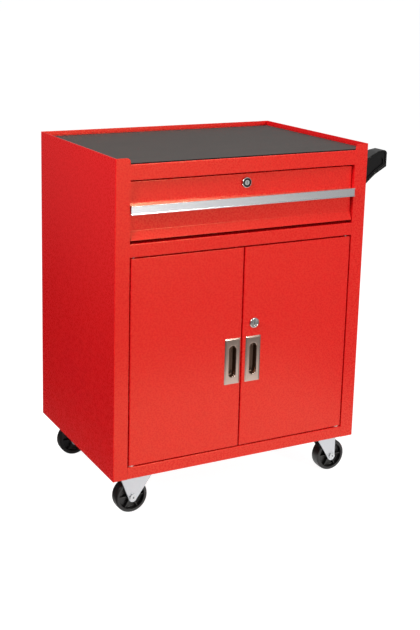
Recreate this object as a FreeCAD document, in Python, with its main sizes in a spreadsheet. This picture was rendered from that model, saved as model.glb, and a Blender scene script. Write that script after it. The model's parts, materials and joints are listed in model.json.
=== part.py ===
import FreeCAD, Part
import Sketcher
import math
import os
from types import SimpleNamespace

# Roller tool cabinet of folded sheet steel: one drawer over two doors, on four casters.
# Millimetres, +Z up, front towards -Y. The origin lies on the floor under the middle of the cabinet.

SIZES = {
    # Carcass
    "bodyWidth": 610.0,
    "bodyDepth": 420.0,
    "bodyHeight": 686.0,
    "standHeight": 96.0,
    "steel": 1.0,
    "foldRadius": 1.6,
    "edgeBreak": 0.4,
    "postWidth": 33.0,
    "postReturn": 24.0,
    "postCornerRadius": 9.0,
    "backFlange": 18.0,
    "hemHeight": 9.0,
    "trayDrop": 13.3,
    "topRailHeight": 32.4,
    "drawerOpening": 130.3,
    "middleRailHeight": 27.9,
    "bottomRailHeight": 26.5,
    "railReturn": 18.0,
    "railLip": 9.0,
    "middleTopFlange": 25.0,
    "middleFootFlange": 38.0,
    "panHem": 10.0,
    "runnerHeight": 56.0,
    # Mat
    "matThickness": 2.4,
    "matSetback": 2.4,
    "matGap": 1.0,
    # Shelf and its clips
    "shelfHeight": 226.0,
    "shelfSetback": 27.0,
    "shelfFold": 18.0,
    "shelfGap": 0.8,
    "clipLength": 22.0,
    "clipReach": 15.0,
    "clipHeight": 14.0,
    "clipSteel": 1.6,
    "clipInset": 40.0,
    # Drawer
    "drawerTopGap": 3.6,
    "drawerFootGap": 6.6,
    "drawerSideGap": 2.0,
    "drawerRecess": 8.5,
    "drawerReturn": 9.0,
    "flareHeight": 18.9,
    "flareRecess": 0.6,
    "boxLift": 6.0,
    "boxHeight": 78.0,
    "boxLength": 385.0,
    "boxHem": 6.0,
    # Bar pull of extruded aluminium
    "barProud": 7.0,
    "barHeight": 18.4,
    "barDrop": 47.5,
    "barLip": 2.6,
    "barWall": 1.5,
    "barFlange": 14.0,
    "barEndGap": 0.5,
    # Drawer slides
    "slideHeight": 35.6,
    "slideWidth": 12.7,
    "slideSteel": 1.2,
    "slideRun": 0.4,
    "slideLength": 375.0,
    "slideSetback": 26.0,
    "slideOuterLip": 9.0,
    "slideMiddleLip": 11.0,
    # Doors
    "doorDepth": 19.0,
    "doorGap": 3.2,
    "doorSideGap": 3.0,
    "doorMiddleGap": 3.0,
    "doorShift": 2.8,
    "doorHem": 13.0,
    "doorEdgeRadius": 2.0,
    "pinRadius": 2.5,
    "pinInset": 8.0,
    "pinHeadRadius": 4.5,
    "pinHead": 2.0,
    "pinReach": 4.0,
    "washerRadius": 6.0,
    "runGap": 0.3,
    "runFit": 0.06,
    # Flush pulls
    "pullWidth": 37.5,
    "pullHeight": 103.4,
    "pullProud": 1.6,
    "pullBevel": 3.5,
    "pullFoot": 175.8,
    "pullSpread": 51.2,
    "slotWidth": 17.3,
    "slotHeight": 71.7,
    "slotDepth": 12.5,
    "cupWall": 1.1,
    "cupGap": 0.6,
    # Cam locks
    "lockRadius": 11.4,
    "lockProud": 4.6,
    "lockBevel": 0.8,
    "barrelRadius": 9.2,
    "plugRadius": 5.6,
    "plugStep": 0.5,
    "ringDepth": 1.4,
    "ringWall": 1.5,
    "ringInset": 2.6,
    "nutAcross": 24.0,
    "nutDepth": 4.0,
    "keyWidth": 1.6,
    "keyHeight": 6.4,
    "keyDepth": 3.0,
    "camSteel": 2.0,
    "camWidth": 14.0,
    "camLength": 37.0,
    "camClear": 2.0,
    "camBossRadius": 4.4,
    "drawerLockDrop": 68.2,
    "doorLockHeight": 309.3,
    # Magnetic catches
    "catchWidth": 34.0,
    "catchDepth": 14.0,
    "catchHeight": 14.0,
    "catchInset": 34.0,
    "strikeWidth": 28.0,
    "strikeHeight": 12.0,
    # Push handle
    "handleReach": 74.8,
    "handleSetback": 28.0,
    "handleThickness": 33.0,
    "handleRim": 4.6,
    "handleRecess": 2.0,
    "handleWell": 4.5,
    "gripRadius": 11.0,
    "gripWall": 1.6,
    "gripSocket": 16.0,
    "gripFit": 0.1,
    "gripOut": 57.0,
    "gripDrop": 43.0,
    "handleTopDrop": 50.0,
    "handleBendOut": 48.0,
    "handleBendDrop": 24.5,
    "handleNoseDrop": 20.5,
    "handleChinDrop": 60.0,
    "handleThroatOut": 44.0,
    "handleThroatDrop": 77.0,
    "handleHeelOut": 20.0,
    "handleHeelDrop": 97.0,
    "handleFootDrop": 124.0,
    "handleNoseRadius": 10.0,
    "handleChinRadius": 6.0,
    "handleBendRadius": 24.0,
    "handleCurveRadius": 60.0,
    "screwRadius": 2.5,
    "screwHeadRadius": 5.0,
    "screwHead": 3.0,
    "screwLength": 16.0,
    "screwTopDrop": 62.0,
    "screwPitch": 42.0,
    # Casters
    "swivelInset": 59.6,
    "fixedInset": 69.6,
    "casterSetback": 46.0,
    "seatRise": 2.0,
    "channelSteel": 2.0,
    "channelWidth": 104.0,
    "channelEndGap": 1.0,
    "plateLength": 92.0,
    "plateWidth": 66.0,
    "plateRadius": 8.0,
    "forkSteel": 2.5,
    "boltPitchLong": 75.0,
    "boltPitchWide": 50.0,
    "boltRadius": 4.0,
    "boltHeadAcross": 13.0,
    "boltHead": 5.0,
    "boltNut": 6.0,
    "wheelRadius": 37.5,
    "wheelWidth": 26.0,
    "wheelBevel": 3.0,
    "wheelGap": 1.6,
    "rimInnerRadius": 29.0,
    "hubRadius": 10.0,
    "webThickness": 6.0,
    "ribThickness": 2.6,
    "ribSetback": 3.0,
    "ribCount": 6,
    "axleRadius": 4.0,
    "axleHeadRadius": 7.0,
    "axleHead": 3.0,
    "axleDimple": 2.6,
    "axleDimpleDepth": 2.2,
    "forkEdgeRadius": 1.8,
    "forkEndDrop": 12.0,
    "forkEndRadius": 9.0,
    "fixedTrail": 10.0,
    "fixedForkBack": 34.0,
    "fixedForkFront": 56.0,
    "fixedForkEnd": 5.6,
    "swivelTrail": 26.0,
    "swivelForkBack": 44.0,
    "swivelForkFront": 9.2,
    "swivelForkEnd": 5.4,
    "raceRadius": 26.0,
    "raceHeight": 5.5,
    "raceBevel": 2.0,
    "crownRadius": 28.0,
    "kingpinRadius": 6.0,
    "kingpinHeadRadius": 10.0,
    "kingpinHead": 4.0,
    # Cuts run past the material by this much
    "overrun": 2.0,
}

# Corners of the recess in a handle bracket and of the deeper well in it, as shares of the rim's
# width measured from the matching corner of the outline: outwards from the wall, and down.
RECESS_SHARES = ((1.0, 0.55), (0.2, 1.05), (-1.0, 1.0), (-1.0, -0.7), (0.1, -1.15), (0.35, -1.2), (1.0, -1.6))
WELL_SHARES = ((1.0, 3.4), (0.2, 3.7), (-2.0, 3.9), (-2.0, -1.3), (0.0, -2.1), (0.35, -2.3), (1.0, -2.9))
NEAR = 0.01


class Size:
    """A length that knows its value and the spreadsheet expression that gives it."""

    def __init__(self, value, text):
        self.value = float(value)
        self.text = text

    def join(self, sign, other):
        other = sized(other)
        text = "(%s %s %s)" % (self.text, sign, other.text)
        if sign == "+":
            return Size(self.value + other.value, text)
        if sign == "-":
            return Size(self.value - other.value, text)
        if sign == "*":
            return Size(self.value * other.value, text)
        return Size(self.value / other.value, text)

    def __add__(self, other):
        return self.join("+", other)

    def __sub__(self, other):
        return self.join("-", other)

    def __mul__(self, other):
        return self.join("*", other)

    def __truediv__(self, other):
        return self.join("/", other)

    def __neg__(self):
        return Size(-self.value, "(0 - %s)" % self.text)


def sized(value):
    return value if isinstance(value, Size) else Size(value, repr(value))


doc = FreeCAD.newDocument("RollerToolCabinet")
sheet = doc.addObject("Spreadsheet::Sheet", "Sizes")
for row, (alias, number) in enumerate(SIZES.items(), 1):
    sheet.set("A%d" % row, alias)
    sheet.set("B%d" % row, str(number))
    sheet.setAlias("B%d" % row, alias)
doc.recompute()
size = SimpleNamespace(**{alias: Size(sheet.get(alias), "Sizes." + alias) for alias in SIZES})
nodes = []


# Drawing and shaping helpers

def bind(item, prop, length):
    item.setExpression(prop, sized(length).text)


def keep(item, label):
    item.Label = label
    nodes.append(item)
    return item


def fix_point(sketch, geometry, position, x, y):
    for kind, length in (("DistanceX", sized(x)), ("DistanceY", sized(y))):
        number = sketch.addConstraint(Sketcher.Constraint(kind, -1, 1, geometry, position, length.value))
        sketch.setExpression("Constraints[%d]" % number, length.text)


def polygon(*corners):
    def add(sketch):
        first = sketch.GeometryCount
        points = [FreeCAD.Vector(sized(x).value, sized(y).value, 0) for x, y in corners]
        count = len(points)
        for number in range(count):
            sketch.addGeometry(Part.LineSegment(points[number], points[(number + 1) % count]))
        sketch.addConstraint([
            Sketcher.Constraint("Coincident", first + number, 2, first + (number + 1) % count, 1)
            for number in range(count)])
        for number, (x, y) in enumerate(corners):
            fix_point(sketch, first + number, 1, x, y)
    return add


def rectangle(x0, y0, x1, y1):
    return polygon((x0, y0), (x1, y0), (x1, y1), (x0, y1))


def circle(x, y, radius):
    def add(sketch):
        centre = FreeCAD.Vector(sized(x).value, sized(y).value, 0)
        number = sketch.addGeometry(Part.Circle(centre, FreeCAD.Vector(0, 0, 1), radius.value))
        fix_point(sketch, number, 3, x, y)
        limit = sketch.addConstraint(Sketcher.Constraint("Radius", number, radius.value))
        sketch.setExpression("Constraints[%d]" % limit, radius.text)
    return add


def upright_slot(x, y, width, height):
    def add(sketch):
        radius = width / 2
        rise = (height - width) / 2
        up = FreeCAD.Vector(0, 0, 1)
        high = FreeCAD.Vector(x.value, (y + rise).value, 0)
        low = FreeCAD.Vector(x.value, (y - rise).value, 0)
        side = FreeCAD.Vector(radius.value, 0, 0)
        first = sketch.addGeometry(Part.ArcOfCircle(Part.Circle(high, up, radius.value), 0, math.pi))
        sketch.addGeometry(Part.LineSegment(high - side, low - side))
        sketch.addGeometry(Part.ArcOfCircle(Part.Circle(low, up, radius.value), math.pi, 2 * math.pi))
        sketch.addGeometry(Part.LineSegment(low + side, high + side))
        for number in range(4):
            sketch.addConstraint(Sketcher.Constraint("Tangent", first + number, 2, first + (number + 1) % 4, 1))
        for number, height_of in ((0, y + rise), (2, y - rise)):
            fix_point(sketch, first + number, 3, x, height_of)
            limit = sketch.addConstraint(Sketcher.Constraint("Radius", first + number, radius.value))
            sketch.setExpression("Constraints[%d]" % limit, radius.text)
    return add


def start_body(label):
    return keep(doc.addObject("PartDesign::Body", label), label)


def draw(body, plane, offset, loops):
    sketch = body.newObject("Sketcher::SketchObject", body.Name + "_sketch")
    origin_plane = [item for item in body.Origin.OriginFeatures if item.Role == plane][0]
    sketch.AttachmentSupport = [(origin_plane, "")]
    sketch.MapMode = "FlatFace"
    for axis, length in zip("xyz", offset):
        bind(sketch, "AttachmentOffset.Base." + axis, length)
    for loop in loops:
        loop(sketch)
    sketch.Visibility = False
    return sketch


def feature(body, kind, sketch, length):
    item = body.newObject("PartDesign::" + kind, body.Name + "_" + kind.lower())
    item.Profile = sketch
    bind(item, "Length", length)
    return item


def pad(body, plane, start, end, *loops):
    """Adds the loops' area between two places on the plane's normal axis."""
    height = -end if plane == "XZ_Plane" else start
    return feature(body, "Pad", draw(body, plane, (0, 0, height), loops), end - start)


def pocket(body, plane, start, end, *loops):
    """Cuts the loops' area between two places on the plane's normal axis."""
    doc.recompute()
    before = body.Shape.Volume
    height = -start if plane == "XZ_Plane" else end
    item = feature(body, "Pocket", draw(body, plane, (0, 0, height), loops), end - start)
    doc.recompute()
    if not body.Shape.Volume < before:
        raise ValueError("a pocket in %s cuts nothing" % body.Label)
    return item


def edges_at(shape, along, places):
    """Names of the straight edges that run along an axis through the given places."""
    others = [axis for axis in "xyz" if axis != along]
    names = []
    for number, edge in enumerate(shape.Edges, 1):
        if not isinstance(edge.Curve, Part.Line):
            continue
        if abs(getattr(edge.tangentAt(edge.FirstParameter), along)) < 1 - NEAR:
            continue
        middle = edge.CenterOfMass
        for place in places:
            if all(abs(getattr(middle, axis) - sized(at).value) < NEAR for axis, at in zip(others, place)):
                names.append("Edge%d" % number)
    return names


def round_edges(body, radius, along, *places):
    doc.recompute()
    corner = body.Tip
    names = edges_at(corner.Shape, along, places)
    if not names:
        raise ValueError("no edge of %s lies at the named place" % body.Label)
    item = body.newObject("PartDesign::Fillet", body.Name + "_round")
    item.Base = (corner, names)
    bind(item, "Radius", radius)
    return item


def rim_edges(shape, axis, place, holeRadius):
    """Names of the outline edges of the face that lies at a place on an axis, without its holes."""
    names = []
    for number, edge in enumerate(shape.Edges, 1):
        extent = edge.BoundBox
        low = getattr(extent, axis.upper() + "Min")
        high = getattr(extent, axis.upper() + "Max")
        inPlane = abs(low - place.value) < NEAR and abs(high - place.value) < NEAR
        isHole = edge.isClosed() and extent.DiagonalLength / math.sqrt(2) < holeRadius.value * 2 + NEAR
        if inPlane and not isHole:
            names.append("Edge%d" % number)
    return names


def round_rim(body, radius, axis, place, holeRadius):
    doc.recompute()
    blank = body.Tip
    item = body.newObject("PartDesign::Fillet", body.Name + "_rim")
    item.Base = (blank, rim_edges(blank.Shape, axis, place, holeRadius))
    bind(item, "Radius", radius)
    return item


def bevel_rim(body, width, axis, place, holeRadius):
    doc.recompute()
    blank = body.Tip
    item = body.newObject("PartDesign::Chamfer", body.Name + "_bevel")
    item.Base = (blank, rim_edges(blank.Shape, axis, place, holeRadius))
    bind(item, "Size", width)
    return item


def turned(body, x, y, z, *loops):
    """Turns a half section, drawn from the centre outwards, about an axis along Y."""
    sketch = draw(body, "XY_Plane", (x, y, z), loops)
    item = body.newObject("PartDesign::Revolution", body.Name + "_turned")
    item.Profile = sketch
    item.ReferenceAxis = (sketch, ["V_Axis"])
    item.Angle = 360
    return item


def box(name, x0, x1, y0, y1, z0, z1):
    solid = doc.addObject("Part::Box", name)
    for prop, axis, low, high in (("Length", "x", x0, x1), ("Width", "y", y0, y1), ("Height", "z", z0, z1)):
        bind(solid, prop, sized(high) - low)
        bind(solid, "Placement.Base." + axis, low)
    return solid


TURNS = {
    "x": FreeCAD.Rotation(FreeCAD.Vector(0, 1, 0), 90),
    "y": FreeCAD.Rotation(FreeCAD.Vector(1, 0, 0), -90),
    "z": FreeCAD.Rotation(),
}


def stand(solid, axis, x, y, z):
    solid.Placement.Rotation = TURNS[axis]
    for name, length in (("x", x), ("y", y), ("z", z)):
        bind(solid, "Placement.Base." + name, length)
    return solid


def rod(name, axis, x, y, z, radius, length):
    solid = doc.addObject("Part::Cylinder", name)
    bind(solid, "Radius", radius)
    bind(solid, "Height", length)
    return stand(solid, axis, x, y, z)


def hexagon(name, axis, x, y, z, across, length):
    solid = doc.addObject("Part::Prism", name)
    solid.Polygon = 6
    solid.setExpression("Circumradius", "%s / sqrt(3)" % across.text)
    bind(solid, "Height", length)
    return stand(solid, axis, x, y, z)


def fuse(name, *solids):
    item = doc.addObject("Part::MultiFuse", name)
    item.Shapes = list(solids)
    item.Refine = True
    return item


def cut(name, base, tool):
    item = doc.addObject("Part::Cut", name)
    item.Base = base
    item.Tool = tool
    item.Refine = True
    return item


def group(name, *solids):
    item = doc.addObject("Part::Compound", name)
    item.Links = list(solids)
    return item


# Main places, all worked out from the sheet

steel = size.steel
over = size.overrun
left = -(size.bodyWidth + size.handleReach) / 2
right = left + size.bodyWidth
front = (size.barProud - size.bodyDepth) / 2
back = front + size.bodyDepth
backInner = back - steel * 2
base = size.standHeight
top = base + size.bodyHeight
openLeft = left + size.postWidth
openRight = right - size.postWidth
railTop = top - size.trayDrop
topRailFoot = railTop - size.topRailHeight
middleRailTop = topRailFoot - size.drawerOpening
middleRailFoot = middleRailTop - size.middleRailHeight
panTop = base + size.bottomRailHeight
middle = (left + right) / 2
doorMiddle = middle - size.doorShift


# Carcass

def side_panel(label, edge, inward):
    body = start_body(label)

    def across(distance):
        return edge + distance * inward

    post = across(size.postWidth)
    postInside = across(size.postWidth - steel)
    wall = across(steel)
    flange = across(size.backFlange)
    pad(body, "XY_Plane", base, top, polygon(
        (edge, front), (post, front), (post, front + size.postReturn), (postInside, front + size.postReturn),
        (postInside, front + steel), (wall, front + steel), (wall, back - steel), (flange, back - steel),
        (flange, back), (edge, back)))
    clear = rectangle(wall, front + steel, across(size.postWidth + over), front + size.postReturn + over)
    pocket(body, "XY_Plane", railTop - steel, top + over, clear)
    pocket(body, "XY_Plane", base - over, panTop, clear)
    pad(body, "XY_Plane", top - size.hemHeight, top, rectangle(
        wall, front + steel, across(steel * 2), backInner))
    round_edges(body, size.postCornerRadius, "y", (post, top))
    round_edges(body, size.foldRadius, "z", (edge, front), (edge, back))
    return body


def make_back_panel():
    body = start_body("back_panel")
    pad(body, "XZ_Plane", backInner, backInner + steel, rectangle(left + steel, base, right - steel, top))
    pad(body, "XZ_Plane", backInner - steel, backInner, rectangle(
        left + steel * 2, top - size.hemHeight, right - steel * 2, top))


def make_top_tray():
    body = start_body("top_tray")
    lipBack = front + size.railReturn
    pad(body, "YZ_Plane", openLeft, openRight, polygon(
        (front, railTop), (front, topRailFoot), (lipBack, topRailFoot), (lipBack, topRailFoot + size.railLip),
        (lipBack - steel, topRailFoot + size.railLip), (lipBack - steel, topRailFoot + steel),
        (front + steel, topRailFoot + steel), (front + steel, railTop - steel), (backInner, railTop - steel),
        (backInner, railTop)))
    pad(body, "XY_Plane", railTop - steel, railTop, rectangle(
        left + steel, front + steel, right - steel, backInner))
    round_edges(body, size.foldRadius, "x", (front, railTop), (front, topRailFoot))


def make_top_mat():
    keep(box("top_mat", left + steel * 2 + size.matGap, right - steel * 2 - size.matGap,
             front + size.matSetback, backInner - steel - size.matGap,
             railTop, railTop + size.matThickness), "top_mat")


def pin_places():
    """Hinge pins: the left door's, then the right door's."""
    inset = size.doorSideGap + size.pinInset
    return (openLeft + inset, openRight - inset)


def pin_holes():
    return [circle(x, front + size.pinInset, size.pinRadius + size.runFit) for x in pin_places()]


def make_middle_rail():
    body = start_body("middle_rail")
    footBack = front + size.middleFootFlange
    topBack = front + size.middleTopFlange
    pad(body, "YZ_Plane", openLeft, openRight, polygon(
        (front, middleRailTop), (front, middleRailFoot), (footBack, middleRailFoot),
        (footBack, middleRailFoot + steel), (front + steel, middleRailFoot + steel),
        (front + steel, middleRailTop - steel), (topBack, middleRailTop - steel), (topBack, middleRailTop)))
    pocket(body, "XY_Plane", middleRailFoot - over, middleRailFoot + steel + over, *pin_holes())
    round_edges(body, size.foldRadius, "x", (front, middleRailTop), (front, middleRailFoot))


def pan_outline(inset, frontInset):
    """The pan fills the body behind the post faces and comes forward between the posts."""
    farLeft = left + steel + inset
    farRight = right - steel - inset
    behind = front + steel + inset
    return polygon(
        (openLeft + frontInset, front + frontInset), (openRight - frontInset, front + frontInset),
        (openRight - frontInset, behind), (farRight, behind), (farRight, backInner - inset),
        (farLeft, backInner - inset), (farLeft, behind), (openLeft + frontInset, behind))


def make_bottom_pan():
    body = start_body("bottom_pan")
    pad(body, "XY_Plane", base, panTop, pan_outline(sized(0), sized(0)))
    pocket(body, "XY_Plane", base + steel, panTop - steel, pan_outline(steel, steel))
    hem = size.panHem
    pocket(body, "XY_Plane", base - over, base + steel, rectangle(
        left + steel + hem, front + hem, right - steel - hem, backInner - hem))
    pocket(body, "XY_Plane", panTop - steel - over, panTop + over, *pin_holes())
    round_edges(body, size.foldRadius, "x", (front, panTop), (front, base))


def runner_channel(label, edge, inward):
    """A channel from the post to the back that carries one drawer slide."""
    body = start_body(label)
    web = edge + size.postWidth * inward
    webBack = edge + (size.postWidth - steel) * inward
    wall = edge + steel * inward
    high = slideMiddle + size.runnerHeight / 2
    low = slideMiddle - size.runnerHeight / 2
    pad(body, "XZ_Plane", front + size.postReturn, backInner, polygon(
        (wall, high), (web, high), (web, low), (wall, low), (wall, low + steel),
        (webBack, low + steel), (webBack, high - steel), (wall, high - steel)))


def make_shelf():
    body = start_body("shelf")
    high = base + size.shelfHeight
    near = front + size.shelfSetback
    x0 = left + steel + size.shelfGap
    x1 = right - steel - size.shelfGap
    pad(body, "YZ_Plane", x0, x1, polygon(
        (near, high), (near, high - size.shelfFold), (near + size.railReturn, high - size.shelfFold),
        (near + size.railReturn, high - size.shelfFold + steel), (near + steel, high - size.shelfFold + steel),
        (near + steel, high - steel), (backInner - size.shelfGap, high - steel),
        (backInner - size.shelfGap, high)))
    round_edges(body, size.foldRadius, "x", (near, high), (near, high - size.shelfFold))


def make_shelf_clips():
    """Four angle clips on the side walls, under the shelf's ends."""
    clips = []
    high = base + size.shelfHeight - steel
    for edge, inward in ((left, 1), (right, -1)):
        wall = edge + steel * inward
        leaf = wall + size.clipSteel * inward
        tip = wall + size.clipReach * inward
        for row, y in enumerate((front + size.shelfSetback + size.clipInset, backInner - size.clipInset)):
            y0 = y - size.clipLength / 2
            y1 = y + size.clipLength / 2
            near, far = (wall, tip) if inward > 0 else (tip, wall)
            low, hi = (wall, leaf) if inward > 0 else (leaf, wall)
            clips.append(fuse(
                "shelf_clip", box("clip_leaf", low, hi, y0, y1, high - size.clipHeight, high),
                box("clip_ledge", near, far, y0, y1, high - size.clipSteel, high)))
    keep(group("shelf_clips", *clips), "shelf_clips")


# Drawer

drawerTop = topRailFoot - size.drawerTopGap
drawerFoot = middleRailTop + size.drawerFootGap
drawerLeft = openLeft + size.drawerSideGap
drawerRight = openRight - size.drawerSideGap
drawerFace = front + size.drawerRecess
boxFoot = drawerFoot + size.boxLift
boxTop = boxFoot + size.boxHeight
boxFront = drawerFace + steel
slideMiddle = (boxFoot + boxTop) / 2
slideFront = front + size.slideSetback


def make_drawer_box():
    body = start_body("drawer_box")
    x0 = openLeft + size.slideWidth
    x1 = openRight - size.slideWidth
    boxBack = boxFront + size.boxLength
    pad(body, "XY_Plane", boxFoot, boxTop, rectangle(x0, boxFront, x1, boxBack))
    pocket(body, "XY_Plane", boxFoot + steel, boxTop - steel, rectangle(
        x0 + steel, boxFront + steel, x1 - steel, boxBack - steel))
    hem = size.boxHem
    pocket(body, "XY_Plane", boxTop - steel, boxTop + over, rectangle(
        x0 + hem, boxFront + hem, x1 - hem, boxBack - hem))


def make_drawer_front():
    body = start_body("drawer_front")
    face = drawerFace
    crease = drawerFoot + size.flareHeight
    flare = front + size.flareRecess
    topBack = face + size.drawerReturn
    footBack = flare + size.drawerReturn
    pad(body, "YZ_Plane", drawerLeft, drawerRight, polygon(
        (topBack, drawerTop), (face, drawerTop), (face, crease), (flare, drawerFoot), (footBack, drawerFoot),
        (footBack, drawerFoot + steel), (flare + steel, drawerFoot + steel), (face + steel, crease),
        (face + steel, drawerTop - steel), (topBack, drawerTop - steel)))
    cheek = polygon((topBack, drawerTop), (face, drawerTop), (face, crease), (flare, drawerFoot),
                    (footBack, drawerFoot), (topBack, crease))
    pad(body, "YZ_Plane", drawerLeft, drawerLeft + steel, cheek)
    pad(body, "YZ_Plane", drawerRight - steel, drawerRight, cheek)
    pocket(body, "XZ_Plane", face - over, face + steel + over, circle(
        middle, top - size.drawerLockDrop, size.barrelRadius))
    round_edges(body, size.foldRadius, "x", (face, drawerTop), (face, crease))


def make_drawer_bar():
    """Full-width pull: a shallow channel that faces forward, with a leg back to the drawer."""
    body = start_body("drawer_bar")
    high = drawerTop - size.barDrop
    low = high - size.barHeight
    tip = front - size.barProud
    web = tip + size.barLip
    wall = size.barWall
    foot = high - size.barFlange
    pad(body, "YZ_Plane", openLeft + size.barEndGap, openRight - size.barEndGap, polygon(
        (tip, high), (drawerFace, high), (drawerFace, foot), (drawerFace - wall, foot),
        (drawerFace - wall, high - wall), (web + wall, high - wall), (web + wall, low), (tip, low),
        (tip, low + wall), (web, low + wall), (web, high - wall), (tip, high - wall)))
    round_edges(body, size.edgeBreak, "x", (tip, high), (tip, low))


def channel(x0, reach, half, inward):
    """Section of one slide member: a web and two lips, opening along inward."""
    wall = size.slideSteel
    web = x0 + wall * inward
    tip = x0 + reach * inward
    return polygon(
        (tip, slideMiddle + half), (x0, slideMiddle + half), (x0, slideMiddle - half), (tip, slideMiddle - half),
        (tip, slideMiddle - half + wall), (web, slideMiddle - half + wall),
        (web, slideMiddle + half - wall), (tip, slideMiddle + half - wall))


def slide(side, wall, inward):
    """Three nested members; each runs inside the last with the same clearance."""
    step = size.slideSteel + size.slideRun
    outerHalf = size.slideHeight / 2
    middleStart = step
    innerTip = middleStart + step
    members = (
        ("outer", wall, size.slideOuterLip, outerHalf, inward),
        ("middle", wall + middleStart * inward, size.slideMiddleLip - middleStart, outerHalf - step, inward),
        ("inner", wall + size.slideWidth * inward, size.slideWidth - innerTip, outerHalf - step * 2, -inward),
    )
    for name, x0, reach, half, opening in members:
        body = start_body("%s_slide_%s" % (side, name))
        pad(body, "XZ_Plane", slideFront, slideFront + size.slideLength, channel(x0, reach, half, opening))


# Doors and their furniture

doorFoot = panTop + size.doorGap
doorTop = middleRailFoot - size.doorGap
leftDoorEdges = (openLeft + size.doorSideGap, doorMiddle - size.doorMiddleGap / 2)
rightDoorEdges = (doorMiddle + size.doorMiddleGap / 2, openRight - size.doorSideGap)
pullMiddle = base + size.pullFoot + size.pullHeight / 2
lockHeight = base + size.doorLockHeight
doorBack = front + size.doorDepth
leftPullX = middle - size.pullSpread / 2
rightPullX = middle + size.pullSpread / 2


def door_shell(label, edges, pinX, pullX, *holes):
    body = start_body(label)
    x0, x1 = edges
    pad(body, "XZ_Plane", front, doorBack, rectangle(x0, doorFoot, x1, doorTop))
    round_edges(body, size.doorEdgeRadius, "z", (x0, front), (x1, front))
    pocket(body, "XZ_Plane", front + steel, doorBack - steel, rectangle(
        x0 + steel, doorFoot + steel, x1 - steel, doorTop - steel))
    hem = size.doorHem
    pocket(body, "XZ_Plane", doorBack - steel, doorBack + over, rectangle(
        x0 + hem, doorFoot + hem, x1 - hem, doorTop - hem))
    cupWidth = size.slotWidth + (size.cupWall + size.cupGap) * 2
    cupHeight = size.slotHeight + (size.cupWall + size.cupGap) * 2
    pocket(body, "XZ_Plane", front - over, front + steel + over,
           upright_slot(pullX, pullMiddle, cupWidth, cupHeight), *holes)
    pin = circle(pinX, front + size.pinInset, size.pinRadius)
    pocket(body, "XY_Plane", doorTop - steel - over, doorTop + over, pin)
    pocket(body, "XY_Plane", doorFoot - over, doorFoot + steel + over, pin)
    return body


def pull(label, x):
    """A bevelled plate on the door's face with a finger cup behind it."""
    body = start_body(label)
    z0 = pullMiddle - size.pullHeight / 2
    z1 = pullMiddle + size.pullHeight / 2
    x0 = x - size.pullWidth / 2
    x1 = x + size.pullWidth / 2
    bevel = size.pullBevel
    face = front - size.pullProud
    plate = body.newObject("PartDesign::AdditiveWedge", body.Name + "_plate")
    for prop, length in (
            ("Xmin", x0 + bevel), ("Xmax", x1 - bevel), ("Ymin", face), ("Ymax", front),
            ("Zmin", z0 + bevel), ("Zmax", z1 - bevel), ("X2min", x0), ("X2max", x1),
            ("Z2min", z0), ("Z2max", z1)):
        bind(plate, prop, length)
    cupBack = face + size.slotDepth + size.cupWall
    wall = size.cupWall * 2
    pad(body, "XZ_Plane", front, cupBack, upright_slot(x, pullMiddle, size.slotWidth + wall, size.slotHeight + wall))
    pocket(body, "XZ_Plane", face - over, face + size.slotDepth, upright_slot(
        x, pullMiddle, size.slotWidth, size.slotHeight))


def hinge_hardware(side, x):
    """Pins riveted into the door's flanges, and the washer that the door turns on."""
    y = front + size.pinInset
    head = size.pinHead
    highStart = doorTop - steel - head
    lowStart = panTop - steel - size.pinReach
    lowHead = doorFoot + steel
    highPin = fuse("high_pin", rod("high_shank", "z", x, y, highStart, size.pinRadius,
                                   middleRailFoot + steel + size.pinReach - highStart),
                   rod("high_head", "z", x, y, highStart, size.pinHeadRadius, head))
    lowPin = fuse("low_pin", rod("low_shank", "z", x, y, lowStart, size.pinRadius, lowHead + head - lowStart),
                  rod("low_head", "z", x, y, lowHead, size.pinHeadRadius, head))
    name = "%s_hinge_pins" % side
    keep(group(name, highPin, lowPin), name)
    thickness = size.doorGap - size.runGap
    start = doorFoot - thickness
    name = "%s_hinge_washer" % side
    keep(cut(name, rod("washer_disc", "z", x, y, start, size.washerRadius, thickness),
             rod("washer_hole", "z", x, y, start - over, size.pinRadius, thickness + over * 2)), name)


def strike(side, x):
    name = "%s_strike" % side
    keep(box(name, x - size.strikeWidth / 2, x + size.strikeWidth / 2, doorBack, doorBack + steel,
             doorTop - size.strikeHeight, doorTop), name)


def make_catch_magnets():
    near = doorBack + steel + size.runGap
    catches = []
    for x in (doorMiddle - size.catchInset, doorMiddle + size.catchInset):
        catches.append(box("catch_magnet", x - size.catchWidth / 2, x + size.catchWidth / 2, near,
                           near + size.catchDepth, middleRailFoot - size.catchHeight, middleRailFoot))
    keep(group("catch_magnets", *catches), "catch_magnets")


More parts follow.
